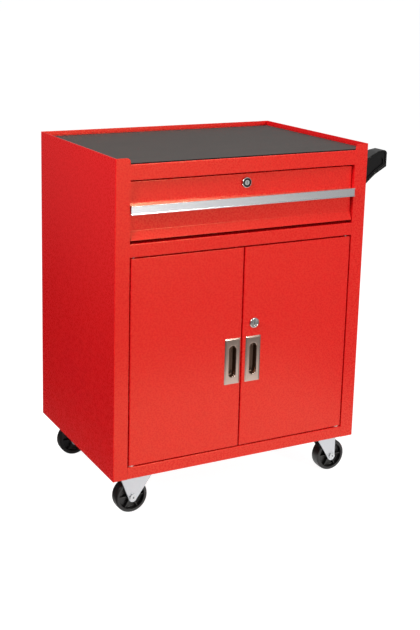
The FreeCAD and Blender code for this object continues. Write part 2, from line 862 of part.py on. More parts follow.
def cam_lock(prefix, x, z, face, camFace, nutSeat):
    """A cam lock through a sheet: fixed body and nut, turning plug and cam, axis along Y."""
    head = size.lockProud
    barrelEnd = camFace - size.runGap
    body = start_body(prefix + "_body")
    ringOuter = size.lockRadius - size.ringWall
    ringInner = size.plugRadius + size.ringInset
    bore = size.plugRadius + size.runFit
    turned(body, x, face, z, polygon(
        (bore, -head), (ringInner, -head), (ringInner, size.ringDepth - head), (ringOuter, size.ringDepth - head),
        (ringOuter, -head), (size.lockRadius - size.lockBevel, -head),
        (size.lockRadius, size.lockBevel - head), (size.lockRadius, 0), (size.barrelRadius, 0),
        (size.barrelRadius, barrelEnd - face), (bore, barrelEnd - face)))
    nut = cut(prefix + "_nut", hexagon("nut_block", "y", x, nutSeat, z, size.nutAcross, size.nutDepth),
              rod("nut_bore", "y", x, nutSeat - over, z, size.barrelRadius, size.nutDepth + over * 2))
    keep(nut, prefix + "_nut")
    plug = start_body(prefix + "_plug")
    camBack = camFace + size.camSteel
    turned(plug, x, face, z, polygon(
        (0, size.plugStep - head), (size.plugRadius, size.plugStep - head),
        (size.plugRadius, camFace - face), (size.camBossRadius, camFace - face),
        (size.camBossRadius, camBack + size.camSteel - face), (0, camBack + size.camSteel - face)))
    pocket(plug, "XZ_Plane", face - head - over, face - head + size.plugStep + size.keyDepth, rectangle(
        x - size.keyWidth / 2, z - size.keyHeight / 2, x + size.keyWidth / 2, z + size.keyHeight / 2))
    cam = start_body(prefix + "_cam")
    half = size.camWidth / 2
    tip = z - size.camLength
    pad(cam, "XZ_Plane", camFace, camBack, rectangle(x - half, tip, x + half, z + half))
    round_edges(cam, half - size.edgeBreak, "y", (x - half, z + half), (x + half, z + half))
    round_edges(cam, half / 2, "y", (x - half, tip), (x + half, tip))
    pocket(cam, "XZ_Plane", camFace - over, camBack + over, circle(x, z, size.camBossRadius))


# Push handle

def handle_bracket(label, y0):
    body = start_body(label)
    y1 = y0 + size.handleThickness
    corners = (
        (right, top - size.handleTopDrop),
        (right + size.handleBendOut, top - size.handleBendDrop),
        (right + size.handleReach, top - size.handleNoseDrop),
        (right + size.handleReach, top - size.handleChinDrop),
        (right + size.handleThroatOut, top - size.handleThroatDrop),
        (right + size.handleHeelOut, top - size.handleHeelDrop),
        (right, top - size.handleFootDrop))
    rim = size.handleRim
    pad(body, "XZ_Plane", y0, y1, polygon(*corners))
    round_edges(body, size.handleNoseRadius, "y", corners[2])
    round_edges(body, size.handleChinRadius, "y", corners[3])
    round_edges(body, size.handleBendRadius, "y", corners[1])
    round_edges(body, size.handleCurveRadius, "y", corners[4], corners[5])
    for shares, depth in ((RECESS_SHARES, size.handleRecess), (WELL_SHARES, size.handleWell)):
        inner = [(x + rim * out, z - rim * down) for (x, z), (out, down) in zip(corners, shares)]
        pocket(body, "XZ_Plane", y0 - over, y0 + depth, polygon(*inner))
        pocket(body, "XZ_Plane", y1 - depth, y1 + over, polygon(*inner))
        round_edges(body, size.handleNoseRadius - rim, "y", inner[2])
        round_edges(body, size.handleBendRadius - rim, "y", inner[1])
        round_edges(body, size.handleCurveRadius, "y", inner[4], inner[5])
    socket = circle(right + size.gripOut, top - size.gripDrop, size.gripRadius + size.gripFit)
    if label.endswith("front"):
        pocket(body, "XZ_Plane", y1 - size.gripSocket, y1 + over, socket)
    else:
        pocket(body, "XZ_Plane", y0 - over, y0 + size.gripSocket, socket)
    return body


frontBracketY = front + size.handleSetback
rearBracketY = back - size.handleSetback - size.handleThickness


def make_handle_grip():
    start = frontBracketY + size.handleThickness - size.gripSocket
    end = rearBracketY + size.gripSocket
    x = right + size.gripOut
    z = top - size.gripDrop
    tube = cut("handle_grip", rod("grip_rod", "y", x, start, z, size.gripRadius, end - start),
               rod("grip_bore", "y", x, start - over, z, size.gripRadius - size.gripWall, end - start + over * 2))
    keep(tube, "handle_grip")


def make_handle_screws():
    screws = []
    for y0 in (frontBracketY, rearBracketY):
        for row in range(2):
            z = top - size.screwTopDrop - size.screwPitch * row
            y = y0 + size.handleThickness / 2
            inside = right - steel
            screws.append(fuse(
                "handle_screw", rod("screw_shank", "x", inside, y, z, size.screwRadius, size.screwLength),
                rod("screw_head", "x", inside - size.screwHead, y, z, size.screwHeadRadius, size.screwHead)))
    keep(group("handle_screws", *screws), "handle_screws")


def drill_for_screws(body, start, end, *rows):
    """Holes along X for the handle's screws."""
    holes = []
    for y0 in rows:
        for row in range(2):
            holes.append(circle(y0 + size.handleThickness / 2,
                                top - size.screwTopDrop - size.screwPitch * row, size.screwRadius))
    pocket(body, "YZ_Plane", start, end, *holes)


# Casters

seat = base + size.seatRise
plateFoot = seat - size.forkSteel
axleZ = size.wheelRadius
casterFrontY = front + size.casterSetback
casterRearY = back - size.casterSetback
fixedX = left + size.fixedInset
fixedAxleX = fixedX - size.fixedTrail
swivelX = right - size.swivelInset
legInner = size.wheelWidth / 2 + size.wheelGap
legOuter = legInner + size.forkSteel


def bolt_places(x, y):
    return [(x + size.boltPitchLong / 2 * along, y + size.boltPitchWide / 2 * aside)
            for along in (-1, 1) for aside in (-1, 1)]


def caster_channel(label, x):
    body = start_body(label)
    x0 = x - size.channelWidth / 2
    x1 = x + size.channelWidth / 2
    wall = size.channelSteel
    high = panTop - steel
    y0 = front + steel * 2 + size.channelEndGap
    y1 = backInner - steel - size.channelEndGap
    pad(body, "XZ_Plane", y0, y1, polygon(
        (x0, high), (x0, seat), (x1, seat), (x1, high), (x1 - wall, high), (x1 - wall, seat + wall),
        (x0 + wall, seat + wall), (x0 + wall, high)))
    holes = [circle(px, py, size.boltRadius) for y in (casterFrontY, casterRearY) for px, py in bolt_places(x, y)]
    pocket(body, "XY_Plane", seat - over, seat + wall + over, *holes)


def top_plate(body, x, y):
    x0 = x - size.plateLength / 2
    x1 = x + size.plateLength / 2
    y0 = y - size.plateWidth / 2
    y1 = y + size.plateWidth / 2
    pad(body, "XY_Plane", plateFoot, seat, rectangle(x0, y0, x1, y1))
    round_edges(body, size.plateRadius, "z", (x0, y0), (x0, y1), (x1, y0), (x1, y1))
    pocket(body, "XY_Plane", plateFoot - over, seat + over, *[
        circle(px, py, size.boltRadius) for px, py in bolt_places(x, y)])


def legs(body, y, high, axleX, highLeft, highRight, lowLeft, lowRight):
    """Two pressed fork legs that narrow to a rounded end round the axle, with rounded outer edges."""
    low = axleZ - size.forkEndDrop
    corners = ((axleX - lowLeft, low), (axleX + lowRight, low))
    outline = polygon((axleX - highLeft, high), (axleX + highRight, high), *reversed(corners))
    pad(body, "XZ_Plane", y - legOuter, y - legInner, outline)
    pad(body, "XZ_Plane", y + legInner, y + legOuter, outline)
    round_edges(body, size.forkEndRadius, "y", *corners)
    pocket(body, "XZ_Plane", y - legOuter - over, y + legOuter + over, circle(axleX, axleZ, size.axleRadius))


def fixed_fork(label, y):
    body = start_body(label)
    top_plate(body, fixedX, y)
    legs(body, y, plateFoot, fixedAxleX, size.fixedForkBack, size.fixedForkFront,
         size.fixedForkEnd, size.fixedForkEnd)
    round_rim(body, size.forkEdgeRadius, "y", y - legOuter, size.axleRadius)
    round_rim(body, size.forkEdgeRadius, "y", y + legOuter, size.axleRadius)


crownTop = plateFoot - size.raceHeight - size.runGap
crownFoot = crownTop - size.forkSteel
swivelAxleX = swivelX + size.swivelTrail


def swivel_plate(label, y):
    body = start_body(label)
    top_plate(body, swivelX, y)
    raceFoot = plateFoot - size.raceHeight
    pad(body, "XY_Plane", raceFoot, plateFoot, circle(swivelX, y, size.raceRadius))
    pocket(body, "XY_Plane", raceFoot - over, seat + over, circle(swivelX, y, size.kingpinRadius))
    bevel_rim(body, size.raceBevel, "z", raceFoot, size.kingpinRadius)


def swivel_fork(label, y):
    body = start_body(label)
    tail = swivelAxleX + size.swivelForkFront
    pad(body, "XY_Plane", crownFoot, crownTop, circle(swivelX, y, size.crownRadius))
    pad(body, "XY_Plane", crownFoot, crownTop, rectangle(swivelX, y - legOuter, tail, y + legOuter))
    legs(body, y, crownTop, swivelAxleX, size.swivelForkBack, size.swivelForkFront,
         size.swivelForkEnd, size.swivelForkFront)
    pocket(body, "XY_Plane", crownFoot - over, crownTop + over, circle(
        swivelX, y, size.kingpinRadius + size.runFit))
    round_rim(body, size.forkEdgeRadius, "y", y - legOuter, size.axleRadius)
    round_rim(body, size.forkEdgeRadius, "y", y + legOuter, size.axleRadius)


def make_kingpins():
    pins = []
    for y in (casterFrontY, casterRearY):
        headTop = crownFoot - size.runGap
        start = headTop - size.kingpinHead
        pins.append(fuse("kingpin", rod("kingpin_shank", "z", swivelX, y, start, size.kingpinRadius, seat - start),
                         rod("kingpin_head", "z", swivelX, y, start, size.kingpinHeadRadius, size.kingpinHead)))
    keep(group("kingpins", *pins), "kingpins")


def axle(name, x, y):
    """A riveted axle: shank through both legs, a dimpled head outside each."""
    start = y - legOuter - size.axleHead
    length = (legOuter + size.axleHead) * 2
    solid = fuse(name + "_blank", rod("axle_shank", "y", x, start, axleZ, size.axleRadius, length),
                 rod("axle_head", "y", x, start, axleZ, size.axleHeadRadius, size.axleHead),
                 rod("axle_tail", "y", x, y + legOuter, axleZ, size.axleHeadRadius, size.axleHead))
    dimples = fuse(name + "_dimples",
                   rod("dimple", "y", x, start - over, axleZ, size.axleDimple, size.axleDimpleDepth + over),
                   rod("dimple", "y", x, start + length - size.axleDimpleDepth, axleZ, size.axleDimple,
                       size.axleDimpleDepth + over))
    return cut(name, solid, dimples)


def wheel(label, x, y):
    body = start_body(label)
    half = size.wheelWidth / 2
    web = size.webThickness / 2
    bore = size.axleRadius + size.runFit
    rim = size.rimInnerRadius
    outer = size.wheelRadius
    bevel = size.wheelBevel
    turned(body, x, y, axleZ, polygon(
        (bore, half), (size.hubRadius, half), (size.hubRadius, web), (rim, web), (rim, half),
        (outer - bevel, half), (outer, half - bevel), (outer, bevel - half), (outer - bevel, -half),
        (rim, -half), (rim, -web), (size.hubRadius, -web), (size.hubRadius, -half), (bore, -half)))
    depth = half - size.ribSetback
    ribSketch = draw(body, "XZ_Plane", (x, axleZ, -(y + depth)), [rectangle(
        size.hubRadius - size.edgeBreak, -(size.ribThickness / 2),
        rim + size.edgeBreak, size.ribThickness / 2)])
    rib = feature(body, "Pad", ribSketch, depth * 2)
    doc.recompute()
    ribs = body.newObject("PartDesign::PolarPattern", label + "_ribs")
    ribs.Originals = [rib]
    ribs.Axis = (ribSketch, ["N_Axis"])
    ribs.Angle = 360
    ribs.setExpression("Occurrences", size.ribCount.text)
    body.Tip = ribs


def make_caster_bolts():
    """Sixteen bolts with their nuts, four to a caster."""
    solids = []
    for x in (fixedX, swivelX):
        for y in (casterFrontY, casterRearY):
            for px, py in bolt_places(x, y):
                headFoot = plateFoot - size.boltHead
                nutSeat = seat + size.channelSteel
                shank = nutSeat + size.boltNut - headFoot
                solids.append(fuse(
                    "caster_bolt", hexagon("bolt_head", "z", px, py, headFoot, size.boltHeadAcross, size.boltHead),
                    rod("bolt_shank", "z", px, py, headFoot, size.boltRadius, shank),
                    hexagon("bolt_nut", "z", px, py, nutSeat, size.boltHeadAcross, size.boltNut)))
    keep(group("caster_bolts", *solids), "caster_bolts")


def build():
    side_panel("left_side_panel", left, 1)
    rightPanel = side_panel("right_side_panel", right, -1)
    drill_for_screws(rightPanel, right - steel - over, right + over, frontBracketY, rearBracketY)
    make_back_panel()
    make_top_tray()
    make_top_mat()
    make_middle_rail()
    make_bottom_pan()
    runner_channel("left_runner_channel", left, 1)
    runner_channel("right_runner_channel", right, -1)
    make_shelf()
    make_shelf_clips()
    make_drawer_box()
    make_drawer_front()
    make_drawer_bar()
    slide("left", openLeft, 1)
    slide("right", openRight, -1)
    pinLeft, pinRight = pin_places()
    door_shell("left_door_shell", leftDoorEdges, pinLeft, leftPullX)
    door_shell("right_door_shell", rightDoorEdges, pinRight, rightPullX,
               circle(rightPullX, lockHeight, size.barrelRadius))
    pull("left_pull", leftPullX)
    pull("right_pull", rightPullX)
    hinge_hardware("left", pinLeft)
    hinge_hardware("right", pinRight)
    strike("left", doorMiddle - size.catchInset)
    strike("right", doorMiddle + size.catchInset)
    make_catch_magnets()
    cam_lock("drawer_lock", middle, top - size.drawerLockDrop, drawerFace,
             front + size.railReturn + size.camClear, drawerFace + steel)
    cam_lock("door_lock", rightPullX, lockHeight, front, doorBack + size.camClear, front + steel)
    for label, y0 in (("handle_bracket_front", frontBracketY), ("handle_bracket_rear", rearBracketY)):
        drill_for_screws(handle_bracket(label, y0), right - over, right + size.screwLength - steel, y0)
    make_handle_grip()
    make_handle_screws()
    caster_channel("left_caster_channel", fixedX)
    caster_channel("right_caster_channel", swivelX)
    for row, y in (("front", casterFrontY), ("rear", casterRearY)):
        fixed_fork("fixed_fork_" + row, y)
        swivel_plate("swivel_plate_" + row, y)
        swivel_fork("swivel_fork_" + row, y)
        keep(axle("swivel_axle_" + row, swivelAxleX, y), "swivel_axle_" + row)
        wheel("left_wheel_" + row, fixedAxleX, y)
        wheel("right_wheel_" + row, swivelAxleX, y)
    keep(group("fixed_axles", axle("fixed_axle_front", fixedAxleX, casterFrontY),
               axle("fixed_axle_rear", fixedAxleX, casterRearY)), "fixed_axles")
    make_kingpins()
    make_caster_bolts()


def check():
    failed = [item.Label for item in doc.Objects if "Invalid" in item.State or "Error" in item.State]
    for node in nodes:
        if node.Shape.isNull() or not node.Shape.isValid():
            failed.append(node.Label)
    if failed:
        raise ValueError("failed: " + ", ".join(failed))


def write_parts():
    os.makedirs("parts", exist_ok=True)
    for node in nodes:
        node.Shape.exportStep(os.path.join("parts", node.Label + ".step"))
    whole = FreeCAD.BoundBox()
    for node in nodes:
        whole.add(node.Shape.BoundBox)
    print(len(nodes), "nodes", whole)


build()
doc.recompute()
check()
write_parts()
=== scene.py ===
import json
import math

import bmesh
import bpy
from mathutils import Matrix, Vector

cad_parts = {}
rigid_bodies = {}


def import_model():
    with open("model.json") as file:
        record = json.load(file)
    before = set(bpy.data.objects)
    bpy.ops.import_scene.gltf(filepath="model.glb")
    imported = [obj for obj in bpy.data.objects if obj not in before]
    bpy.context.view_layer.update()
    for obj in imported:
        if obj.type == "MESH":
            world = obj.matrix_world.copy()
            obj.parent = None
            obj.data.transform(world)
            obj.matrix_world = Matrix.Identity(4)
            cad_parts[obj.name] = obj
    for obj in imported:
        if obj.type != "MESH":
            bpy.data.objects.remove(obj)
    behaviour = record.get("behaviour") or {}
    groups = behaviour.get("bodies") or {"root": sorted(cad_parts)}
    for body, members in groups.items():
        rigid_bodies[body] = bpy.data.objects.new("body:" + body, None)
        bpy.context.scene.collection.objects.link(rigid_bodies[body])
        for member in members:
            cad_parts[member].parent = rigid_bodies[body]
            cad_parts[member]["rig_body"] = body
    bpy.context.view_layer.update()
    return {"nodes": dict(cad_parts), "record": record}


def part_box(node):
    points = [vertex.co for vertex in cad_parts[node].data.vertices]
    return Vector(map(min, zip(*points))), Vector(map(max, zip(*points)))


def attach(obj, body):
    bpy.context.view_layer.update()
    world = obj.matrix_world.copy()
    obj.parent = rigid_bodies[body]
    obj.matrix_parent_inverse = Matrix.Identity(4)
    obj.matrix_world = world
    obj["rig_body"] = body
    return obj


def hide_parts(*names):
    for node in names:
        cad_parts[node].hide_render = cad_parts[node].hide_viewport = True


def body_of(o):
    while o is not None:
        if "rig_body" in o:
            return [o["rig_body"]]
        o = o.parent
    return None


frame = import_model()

cadNodes = frame["nodes"]
print("frame loaded:", len(cadNodes), "CAD nodes")

# Camera, where the photographer stood
photoCamera = {
    "place": (-1.2196, -2.1595, 1.1286),  # metres
    "azimuth": 26.548,  # degrees to the right of +Y
    "lookDown": 12.359,
    "roll": 0.972,
    "lens": 63.01, "sensor": 36,  # millimetres
    "shift": (0.08, -0.15),
}


def placeCamera(settings):
    azimuth, down, roll = (math.radians(settings[name]) for name in ("azimuth", "lookDown", "roll"))
    forward = Vector((math.sin(azimuth) * math.cos(down), math.cos(azimuth) * math.cos(down), -math.sin(down)))
    level = Vector((math.cos(azimuth), -math.sin(azimuth), 0))
    upright = level.cross(forward)
    right = level * math.cos(roll) + upright * math.sin(roll)
    up = upright * math.cos(roll) - level * math.sin(roll)
    camera = bpy.data.objects.new("photoCamera", bpy.data.cameras.new("photoCamera"))
    bpy.context.scene.collection.objects.link(camera)
    camera.matrix_world = Matrix.Translation(settings["place"]) @ Matrix((right, up, -forward)).transposed().to_4x4()
    camera.data.lens = settings["lens"]
    camera.data.sensor_width = settings["sensor"]
    camera.data.shift_x, camera.data.shift_y = settings["shift"]
    bpy.context.scene.camera = camera


placeCamera(photoCamera)
bpy.context.scene.view_settings.view_transform = "Standard"


# Colours are written as sRGB hex and turned to linear here
def toLinear(code):
    values = [int(code[place:place + 2], 16) / 255 for place in (1, 3, 5)]
    return [v / 12.92 if v <= 0.04045 else ((v + 0.055) / 1.055) ** 2.4 for v in values] + [1.0]


def perMetre(millimetres):
    return 1000.0 / millimetres


def addNode(tree, kind, links=None, values=None, **settings):
    node = tree.nodes.new("ShaderNode" + kind)
    for name, value in settings.items():
        setattr(node, name, value)
    for socket, value in (values or {}).items():
        node.inputs[socket].default_value = value
    for socket, source in (links or {}).items():
        tree.links.new(source, node.inputs[socket])
    return node


# Studio: white background and pale floor for the camera, soft lamps for the object.
# Shiny surfaces see the same white sweep where it lies in front, and the room getting darker beyond it.
studio = {
    "skyLight": 0.22,  # what the world gives the object
    "floorShare": 0.93,  # white that the floor has in the camera whatever falls on it
    "floorColour": "#d2d2d2",
    "roomDark": 0.03, "roomLight": 0.40, "ceiling": 0.85,  # the room to the left, to the right and overhead
    "roomTurn": (-0.3, 0.1), "ceilingTurn": (0.4, 0.6),  # where they meet, as parts of the direction looked in
    "floorSize": 160,  # metres, as are all places below
    "sweep": {"left": -0.27, "right": 0.36, "front": -0.93, "back": -0.1, "edge": 0.10, "light": 1.0},
    # the grey floor in front of the sweep and far left
    "beyond": {"left": -0.2, "fade": 0.3, "light": 0.25, "farLeft": 0.11, "farEdge": (-1.8, -0.7)},
    # the far white board: bright at the left, then a step at its edge, then dimmer to the right
    "board": {"back": -2.7, "fade": 0.2, "brightEdge": (-0.5, 0.3), "bright": 1.2, "edge": 1.14, "seam": 0.04,
              "light": 0.82, "right": 2.5, "dim": 0.42},
    "bounceLeft": "#5a5a5a", "bounceEdge": (-0.9, -0.3),  # the floor to the left throws less light back
    "shadowTint": "#a0a0a0",  # the share of the lamps' light that lets the object's shadow show on the white floor
    "aim": (0, 0, 0.4),  # all lamps point at the middle of the cabinet
    "lamps": {
        "key": {"place": (1.13, -3.42, 1.35), "size": 0.6, "watts": 58, "colour": "#fffaf4"},
        "left": {"place": (-1.9, -3.4, 2.9), "size": 1.2, "watts": 14, "colour": "#fffaf4"},
        "side": {"place": (-1.9, -0.7, 2.3), "size": 1.1, "watts": 70, "colour": "#fffaf4"},
        "over": {"place": (0.9, 0.6, 3.2), "size": 1.8, "watts": 28, "colour": "#ffffff"},
    },
}


def seenDirectly(tree, roomValue):
    # 1 for the camera and for reflections: the camera sees plain white, what shines sees the room's own brightness
    path = addNode(tree, "LightPath")
    shiny = addNode(tree, "Math", {0: path.outputs["Is Glossy Ray"], 1: path.outputs["Is Transmission Ray"]},
                    operation="MAXIMUM")
    seen = addNode(tree, "Math", {0: path.outputs["Is Camera Ray"], 1: shiny.outputs[0]}, operation="MAXIMUM")
    strength = addNode(tree, "Mix", {0: shiny.outputs[0], 3: roomValue}, {2: 1.0}, data_type="FLOAT")
    return seen.outputs[0], strength.outputs[0]


def makeWorld():
    world = bpy.data.worlds.new("studio")
    bpy.context.scene.world = world
    world.use_nodes = True
    tree = world.node_tree
    tree.nodes.clear()
    way = addNode(tree, "SeparateXYZ", {0: addNode(tree, "TexCoord").outputs["Generated"]})
    turn, ceilingTurn = studio["roomTurn"], studio["ceilingTurn"]
    room = addNode(tree, "MapRange", {"Value": way.outputs["X"]},
                   {"From Min": turn[0], "From Max": turn[1], "To Min": studio["roomDark"],
                    "To Max": studio["roomLight"]}, interpolation_type="SMOOTHSTEP")
    height = addNode(tree, "MapRange", {"Value": way.outputs["Z"]},
                     {"From Min": ceilingTurn[0], "From Max": ceilingTurn[1]}, interpolation_type="SMOOTHSTEP")
    around = addNode(tree, "Mix", {0: height.outputs[0], 2: room.outputs[0]}, {3: studio["ceiling"]},
                     data_type="FLOAT")
    seen, strength = seenDirectly(tree, around.outputs[0])
    light = addNode(tree, "Background", values={"Color": toLinear("#ffffff"), "Strength": studio["skyLight"]})
    white = addNode(tree, "Background", {"Strength": strength}, {"Color": toLinear("#ffffff")})
    both = addNode(tree, "MixShader", {0: seen, 1: light.outputs[0], 2: white.outputs[0]})
    addNode(tree, "OutputWorld", {"Surface": both.outputs[0]})


def makeFloor():
    bpy.ops.object.select_all(action="DESELECT")
    bpy.ops.mesh.primitive_plane_add(size=studio["floorSize"], location=(0, 0, 0))
    floor = bpy.context.object
    floor.name = "studioFloor"
    material = bpy.data.materials.new("paperSweep")
    material.use_nodes = True
    tree = material.node_tree
    tree.nodes.clear()
    place = addNode(tree, "SeparateXYZ", {0: addNode(tree, "TexCoord").outputs["Object"]})
    sweep, beyond, board = studio["sweep"], studio["beyond"], studio["board"]

    def ramp(axis, start, end, low=0.0, high=1.0):
        return addNode(tree, "MapRange", {"Value": place.outputs[axis]},
                       {"From Min": start, "From Max": end, "To Min": low, "To Max": high},
                       interpolation_type="SMOOTHSTEP").outputs[0]

    def times(first, second):
        return addNode(tree, "Math", {0: first, 1: second}, operation="MULTIPLY").outputs[0]

    def blend(share, first, second):
        return addNode(tree, "Mix", {0: share, 2: first, 3: second}, data_type="FLOAT").outputs[0]

    edge = sweep["edge"]
    onSweep = times(times(ramp("X", sweep["left"] - edge, sweep["left"]),
                          ramp("Y", sweep["back"] + edge, sweep["back"])),
                    times(ramp("X", sweep["right"] + 4 * edge, sweep["right"]),
                          ramp("Y", sweep["front"] - edge, sweep["front"])))
    grey = addNode(tree, "Math", {0: ramp("X", beyond["left"] - beyond["fade"], beyond["left"], 0.0, beyond["light"]),
                                  1: ramp("X", *beyond["farEdge"], beyond["farLeft"], 0.0)},
                   operation="ADD").outputs[0]
    far = blend(ramp("X", board["edge"] - board["seam"], board["edge"] + board["seam"]),
                ramp("X", *board["brightEdge"], 0.0, board["bright"]),
                ramp("X", board["edge"], board["right"], board["light"], board["dim"]))
    field = blend(ramp("Y", board["back"] + board["fade"], board["back"]), grey, far)
    white = addNode(tree, "Value")
    white.outputs[0].default_value = sweep["light"]
    seen, strength = seenDirectly(tree, blend(onSweep, field, white.outputs[0]))
    share = addNode(tree, "Math", {0: strength}, {1: studio["floorShare"]}, operation="MULTIPLY")
    bounce = addNode(tree, "Mix", {0: ramp("X", *studio["bounceEdge"])},
                     {6: toLinear(studio["bounceLeft"]), 7: toLinear(studio["floorColour"])}, data_type="RGBA")
    paper = addNode(tree, "BsdfDiffuse", {"Color": bounce.outputs[2]})
    glow = addNode(tree, "Emission", {"Strength": share.outputs[0]}, {"Color": toLinear("#ffffff")})
    tint = addNode(tree, "Mix", {0: strength}, {6: toLinear("#000000"), 7: toLinear(studio["shadowTint"])},
                   data_type="RGBA")
    thin = addNode(tree, "BsdfDiffuse", {"Color": tint.outputs[2]})
    pale = addNode(tree, "AddShader", {0: glow.outputs[0], 1: thin.outputs[0]})
    both = addNode(tree, "MixShader", {0: seen, 1: paper.outputs[0], 2: pale.outputs[0]})
    addNode(tree, "OutputMaterial", {"Surface": both.outputs[0]})
    floor.data.materials.append(material)


def addLamp(name, settings):
    lamp = bpy.data.objects.new(name, bpy.data.lights.new(name, "AREA"))
    bpy.context.scene.collection.objects.link(lamp)
    lamp.data.shape = "SQUARE"
    lamp.data.size = settings["size"]
    lamp.data.energy = settings["watts"]
    lamp.data.color = toLinear(settings["colour"])[:3]
    lamp.location = settings["place"]
    lamp.rotation_euler = (Vector(studio["aim"]) - Vector(settings["place"])).to_track_quat("-Z", "Y").to_euler()


makeWorld()
makeFloor()
for lampName, settings in studio["lamps"].items():
    addLamp(lampName + "Lamp", settings)
print("camera, lights and floor made")


def startMaterial(name, colour, values):
    material = bpy.data.materials.new(name)
    material.use_nodes = True
    shader = material.node_tree.nodes["Principled BSDF"]
    shader.inputs["Base Color"].default_value = toLinear(colour)
    for socket, value in values.items():
        shader.inputs[socket].default_value = value
    return material, material.node_tree, shader


# Noise whose grains are about pitch millimetres across, drawn out along an axis where stretch is below 1. Brush
# marks, die lines and tool grain are really about a tenth of a millimetre, which the render can't show, so they are
# drawn several times as coarse
def noiseAt(tree, pitch, stretch=(1, 1, 1), detail=2.0):
    place = addNode(tree, "TexCoord")
    mapping = addNode(tree, "Mapping", {"Vector": place.outputs["Object"]}, {"Scale": stretch})
    return addNode(tree, "TexNoise", {"Vector": mapping.outputs["Vector"]},
                   {"Scale": perMetre(pitch), "Detail": detail})


# Powder-coated sheet steel, sprayed and baked: a satin skin with fine orange peel, and a slow drift of tone
powderCoat = {"colour": "#dc141c", "warmColour": "#de181c", "sheen": "#ffe0a8", "roughness": 0.26, "glossier": 0.02,
              "duller": 0.05, "specular": 0.62, "peelPitch": 3.4, "peelHeight": 0.05, "peelStrength": 0.6,
              "driftPitch": 160.0}


def makePowderCoat():
    material, tree, shader = startMaterial("redPowderCoat", powderCoat["colour"], {
        "Roughness": powderCoat["roughness"], "Specular IOR Level": powderCoat["specular"],
        "Specular Tint": toLinear(powderCoat["sheen"])})
    drift = noiseAt(tree, powderCoat["driftPitch"], detail=1.0)
    tone = addNode(tree, "Mix", {0: drift.outputs[0]}, {6: toLinear(powderCoat["colour"]),
                                                        7: toLinear(powderCoat["warmColour"])}, data_type="RGBA")
    tree.links.new(tone.outputs[2], shader.inputs["Base Color"])
    peel = noiseAt(tree, powderCoat["peelPitch"], detail=3.0)
    gloss = addNode(tree, "MapRange", {"Value": peel.outputs[0]},
                    {"To Min": powderCoat["roughness"] - powderCoat["glossier"],
                     "To Max": powderCoat["roughness"] + powderCoat["duller"]})
    tree.links.new(gloss.outputs[0], shader.inputs["Roughness"])
    bump = addNode(tree, "Bump", {"Height": peel.outputs[0]},
                   {"Strength": powderCoat["peelStrength"], "Distance": powderCoat["peelHeight"] / 1000})
    tree.links.new(bump.outputs[0], shader.inputs["Normal"])
    return material


# Ribbed nitrile rubber matting, calendered: dull charcoal, fine ribs from side to side, a dusty top in long faint
# streaks, and painted shade on faces that don't look up: near black and less shiny, for the shadowed line along its
# front edge. upwards is how far up a face must look to count as the top, 0 to 1
rubberMat = {"colour": "#1d1917", "dustColour": "#3a322e", "shadedSideColour": "#080707", "roughness": 0.60, "ribPitch": 3.2,
             "ribHeight": 0.5, "ribStrength": 0.5, "grainPitch": 1.5, "grainHeight": 0.2, "grainStrength": 0.4,
             "dustPitch": 9.0, "dustStretch": (0.12, 1, 1), "specular": 0.32, "shadedSideSpecular": 0.05,
             "upwards": (0.6, 0.95)}


def makeRubberMat():
    material, tree, shader = startMaterial("ribbedNitrileRubber", rubberMat["colour"],
                                           {"Roughness": rubberMat["roughness"]})
    place = addNode(tree, "TexCoord")
    ribs = addNode(tree, "TexWave", {"Vector": place.outputs["Object"]},
                   {"Scale": perMetre(rubberMat["ribPitch"]) * math.pi / 10, "Distortion": 0.0},
                   wave_type="BANDS", bands_direction="Y", wave_profile="SIN")  # a band repeats every 0.314 / scale
    grain = noiseAt(tree, rubberMat["grainPitch"], detail=4.0)
    dust = noiseAt(tree, rubberMat["dustPitch"], rubberMat["dustStretch"], detail=4.0)
    tone = addNode(tree, "Mix", {0: dust.outputs[0]}, {6: toLinear(rubberMat["colour"]),
                                                       7: toLinear(rubberMat["dustColour"])}, data_type="RGBA")
    # painted shade: faces that don't look up get the near-black colour and little shine, as the shadowed line along the
    # mat's front edge
    facing = addNode(tree, "SeparateXYZ", {0: addNode(tree, "NewGeometry").outputs["Normal"]})
    upwards = addNode(tree, "MapRange", {"Value": facing.outputs["Z"]},
                      {"From Min": rubberMat["upwards"][0], "From Max": rubberMat["upwards"][1]})
    both = addNode(tree, "Mix", {0: upwards.outputs[0], 7: tone.outputs[2]}, {6: toLinear(rubberMat["shadedSideColour"])},
                   data_type="RGBA")
    tree.links.new(both.outputs[2], shader.inputs["Base Color"])
    shine = addNode(tree, "MapRange", {"Value": upwards.outputs[0]},
                    {"To Min": rubberMat["shadedSideSpecular"], "To Max": rubberMat["specular"]})
    tree.links.new(shine.outputs[0], shader.inputs["Specular IOR Level"])
    ribBump = addNode(tree, "Bump", {"Height": ribs.outputs["Fac"]},
                      {"Strength": rubberMat["ribStrength"], "Distance": rubberMat["ribHeight"] / 1000})
    grainBump = addNode(tree, "Bump", {"Height": grain.outputs[0], "Normal": ribBump.outputs[0]},
                        {"Strength": rubberMat["grainStrength"], "Distance": rubberMat["grainHeight"] / 1000})
    tree.links.new(grainBump.outputs[0], shader.inputs["Normal"])
    return material


metalBump = 0.25


